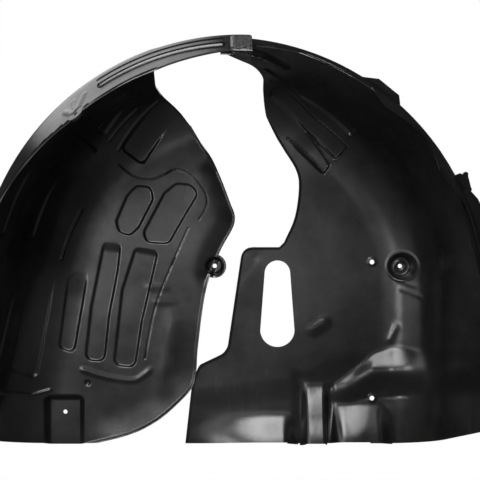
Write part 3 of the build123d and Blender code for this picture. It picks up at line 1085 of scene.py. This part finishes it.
# %% Rear ribs
STEEP_SLOPE = 2.0
rear_ribs = [
    ([(80, 0, 431), (69.2, 0, 363), (51.6, 0, 341)], 0.8, 2.0, 1.8),
    ([(78.4, 0, 391), (64.6, 0, 334), (50.2, 0, 320), (50.3, 0, 289)], 0.8, 2.0, 1.8),
    ([(76.6, 0, 341), (64, 0, 304), (50.7, 0, 290)], 0.8, 2.0, 1.8),
    ([(68.1, 0, 279), (50.5, 0, 260)], 0.8, -2.0, 1.8),
    ([(63.4, 0, 302), (50.6, 0, 275)], 0.8, 2.0, 1.8),
    ([(88, 0, 505), (81, 0, 491), (75.8, 0, 464)], 6.0, 6.0, 8.0),
    ([(76.1, 0, 537), (70.7, 0, 529), (66.6, 0, 528)], 1.2, 2.0, 1.6),
    ([(64.8, 0, 403), (64.7, 0, 403)], 2.0, -2.0, 1.0),
    ([(4, 0, 290), (2, 0, 318)], 1.0, 1.0, 6.0),
    ([(1, 0, 296), (0, 6, 330)], 1.0, 1.0, 6.0),
]
for stations, half_width, height, soft in rear_ribs:
    line, _ = on_curve(REAR, stations)
    fine = 2 if soft < STEEP_SLOPE else 1
    rear_reliefs.append(ridge(line, half_width, height=height, soft=soft, fine=fine))
print("rear reliefs:", len(rear_reliefs))

# %% [markdown]
# ## Rear section's facets and shoulder
# The foot of the rear wall kicks out towards the wheel in three leaning facets, and a shoulder swells out
# above them. Both are heights that grow below a line, and so is a dent higher on the wall. The soft fold
# across the wall's free corner has one height, and fades towards its end.

# %% Rear facets
LEAN = tan(radians(21))
facets = [
    ([(-80, -300), (-80, -190), (82, -190), (88, -300)], leaning([(0, -202)], LEAN), 130, 12.0),
    ([(108, -147), (144, -147), (146, -300), (107, -300)], leaning([(0, -151)], LEAN, most=40.0), 0, 4.0),
    ([(160, -176), (243, -176), (250, -300), (158, -300)], leaning([(0, -184)], LEAN), 0, 16.0),
]
for corners, height, fade, soft in facets:
    rear_reliefs.append(wall_pad(REAR, corners, height=height, fade=fade, soft=soft))
print("rear facets:", len(facets))

# %% Rear shoulder, dent and fold
SHOULDER_LEAN = 0.37
REAR_DENT_LEAN = 0.36
shoulder_top = [(150, -164), (224, -104), (258, -92), (330, -98)]
shoulder = [(150, -164), (224, -96), (258, -84), (330, -90)]
shoulder += [(330, -140), (262, -152), (222, -150), (180, -170)]
shoulder_fade = (np.array((335.0, 0, 0)), np.array((-70.0, 0, 0)))
bulge = leaning(shoulder_top, SHOULDER_LEAN, most=22.0, start=5.0)
rear_reliefs.append(wall_shelf(shoulder, height=bulge, soft=26.0, fade=shoulder_fade))
rear_dent = [(116, -60), (136, -46), (142, -54), (124, -66)]
dent = leaning([(100, -70), (150, -34)], REAR_DENT_LEAN, **DENT)
rear_reliefs.append(wall_shelf(rear_dent, height=dent, soft=DENT_SOFT))
corner_fold = [(-14, -7), (37, 56), (37, 110), (-60, 110), (-60, -7)]
fold_fade = (np.array((46.0, 0, 64.0)), np.array((-18.0, 0, -22.0)))
rear_reliefs.append(wall_shelf(corner_fold, height=-2.2, soft=10.0, fade=fold_fade))
print("rear reliefs:", len(rear_reliefs))

# %% [markdown]
# ## Rear section's fixings
# The screw sits in a dished cup that reaches back to the car's body, with a rim round the cup and a small
# ring in its floor. Two clips push through low bosses.

# %% Rear fixings
CUP_X = 271.0
CUP_RADIUS = 19.0
CUP_RIM = 24.0
CUP_SEAT = 8.0
CLIP_X = 222.0
CLIP_Z = (47.0, -182.0)
CLIP_BOSS = 7.5
rear_reliefs.append(disc(CUP_X, SCREW_Z, CUP_RADIUS, level=BODY_Y, soft=4.0, fine=2))
rear_reliefs.append(disc(CUP_X, SCREW_Z, CUP_RIM, ring=1.0, height=1.5, fine=2))
rear_reliefs.append(disc(CUP_X, SCREW_Z, CUP_SEAT, ring=1.0, height=2.5, soft=1.6, fine=2))
for z in CLIP_Z:
    rear_reliefs.append(disc(CLIP_X, z, CLIP_BOSS, height=1.4, soft=1.0, fine=2))
print("rear reliefs:", len(rear_reliefs))

# %% [markdown]
# ## Rear section's trim
# The rear wall's free edge has a lip too, and its cutters follow the same plan as the front's: the wall
# from the wheel's side, then the crown and the rim from above. Last come the slot with its round ends and
# the holes for the screw and the clips.

# %% Rear moulding
REAR_LEG = 440.0
rear_wall = through([(24, 330), (57, 264), (74, 235), (94, 202), (99, 172), (92, 122), (74, 80)])
rear_corners = [(74, 80), (66, 72), (4, 72), (-22, -104), (-68, -126), (-80, -150), (-110, -420)]
rear_lower = rounded(rear_corners, [5, 20, 24, 14, 30])
rear_edge = [tuple(p) for p in rear_wall] + [tuple(p) for p in rear_lower[1:]]
rear_reliefs.append(wall_ridge(rear_edge, 2.5, height=1.2, **LIP))
rear = wall_sheet("rear_section_wall", REAR, REAR_LEG, rear_reliefs)
print("rear sheet:", len(rear.data.polygons), "faces")

# %% Rear trim
REAR_CROWN_Z = 264
beyond = [(-FAR, rear_edge[-1][1]), (-FAR, FAR), (rear_edge[0][0], FAR)]
combine(rear, prism([*rear_edge, *beyond], WALL_FROM_Y, FAR))
tip = [(-27, -FAR), (-27, 116)]
notch = through([(-27, 116), (-3, 142), (22, 167), (36, 205), (38, 250), (43, 277), (58, 288), (100, 306)])
beyond = [(-FAR, notch[-1].y), (-FAR, -FAR)]
combine(rear, prism([*tip, *notch[1:], *beyond], REAR_CROWN_Z, FAR, upwards=True))
crown = [(-FAR, -6), (-12, -6), (22, 31), (85, 41), (160, 37), (188, 38), (204, 17)]
rim = [*crown, (230, 30), (268, 44), (278, 14), (293, 22), (322, 44), (FAR, 44)]
combine(rear, prism([*rim, (FAR, -FAR), (-FAR, -FAR)], -FAR, FAR, upwards=True))
print("rear trimmed:", len(rear.data.polygons), "faces")

# %% Rear slot and holes
SLOT_X = 63
SLOT_ENDS = ((28, 21.5), (-67, -29))
END_ANGLES = range(5, 180, 10)
CLIP_HOLE = 4.0
slot = []
for end_z, radius in SLOT_ENDS:
    for angle in map(radians, END_ANGLES):
        slot.append((SLOT_X + radius * cos(angle), end_z + radius * sin(angle)))
combine(rear, prism(slot, WALL_FROM_Y, FAR))
bore(rear, CUP_X, SCREW_Z, SCREW_HOLE)
for z in CLIP_Z:
    bore(rear, CLIP_X, z, CLIP_HOLE)
print("rear with holes:", len(rear.data.polygons), "faces")

# %% [markdown]
# ## What stands on the rear ridge
# A flat tab, a wide ear and a hooked clip tower hold the liner to the wing. Each is an outline in polar
# places above the ridge, run along the axle, leant inboard and joined to the wall.

# %% Tabs and clip tower
TAB_LEAN = 0.4
TAB_Y = (54.0, 56.4)
TOWER_Y = (55.4, 68.0)
RIDGE = ridge_radius(REAR)


def standing(stations, low, high):
    """Plate that stands on the rear ridge, with its corners at (angle, height above the ridge)."""
    outline = []
    for angle, height in stations:
        out = RIDGE + height
        outline.append((REAR.axle_x + out * cos(radians(angle)), REAR.axle_z + out * sin(radians(angle))))
    plate = prism(outline, low, high)
    for vert in plate.data.vertices:
        out = np.hypot(vert.co.x - REAR.axle_x, vert.co.z - REAR.axle_z) - RIDGE
        vert.co.y += TAB_LEAN * max(out, 0)
    return plate


tab = [(59, -2), (58, 0), (55, 11), (49.5, 10), (48, 0), (48, -2)]
ear = [(28.6, -2), (28, 7), (24.6, 9), (21.8, 16), (17, 20), (4, 20), (1, 14), (0, -2)]
tower = [(28.6, -2), (28.4, 8), (27.9, 10), (28.1, 17), (27.6, 19.5)]
tower += [(27, 17), (24.8, 13.5), (24, 13), (24, -2)]
for stations, depths in ((tab, TAB_Y), (ear, TAB_Y), (tower, TOWER_Y)):
    combine(rear, standing(stations, *depths), "UNION")
print("rear with tabs:", len(rear.data.polygons), "faces")

# %% [markdown]
# ## Feet
# One sloping plane cuts both legs, so that the two feet line up. The front foot is cut clean by the plane.
# The rear foot keeps three small tabs below it, so its cutter is a block with rooms left for them.

# %% Feet
FOOT_Z = -173.0
FOOT_SLOPE = radians(16.4)
FOOT_TABS = ((79, 98, 1.5), (101, 146, 3.0), (217, 256, 1.5))


def foot_block(low, high, drop):
    """Block between two places in X, from the foot plane down to a drop below it."""
    bm = bmesh.new()
    bmesh.ops.create_cube(bm, size=1.0)
    bmesh.ops.scale(bm, vec=(high - low, 2 * FAR, drop), verts=bm.verts)
    bmesh.ops.translate(bm, vec=((low + high) / 2, 0, -drop / 2), verts=bm.verts)
    bmesh.ops.rotate(bm, matrix=Matrix.Rotation(-FOOT_SLOPE, 3, "X"), verts=bm.verts)
    bmesh.ops.translate(bm, vec=(0, 0, FOOT_Z), verts=bm.verts)
    return as_object("cutter", bm)


clear_below(front, (0, 0, FOOT_Z), (0, sin(FOOT_SLOPE), cos(FOOT_SLOPE)))
below = foot_block(-FAR, FAR, FAR)
for low, high, drop in FOOT_TABS:
    tab_room = foot_block(low, high, 2 * drop)
    tab_room.data.transform(Matrix.Translation((0, 0, drop)))
    combine(below, tab_room)
combine(rear, below)
print("feet cut, with", len(FOOT_TABS), "tabs at the rear")

# %% [markdown]
# ## Finish
# Both walls are moved to where the solids stand, shaded smooth except at sharp edges, and given the
# plastic. Each rides on the one rigid body and takes the place of its own solid.

# %% Finish
SHARP_EDGE = radians(60)
for wall, node in ((front, "front_section"), (rear, "rear_section")):
    wall.data.transform(TO_ROW)
    wall.data.shade_smooth()
    wall.data.set_sharp_from_angle(angle=SHARP_EDGE)
    wall.data.materials.clear()
    wall.data.materials.append(plastic)
    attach(wall, "root")
    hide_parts(node)
    wall.data.calc_loop_triangles()
    print(wall.name, len(wall.data.loop_triangles), "triangles")
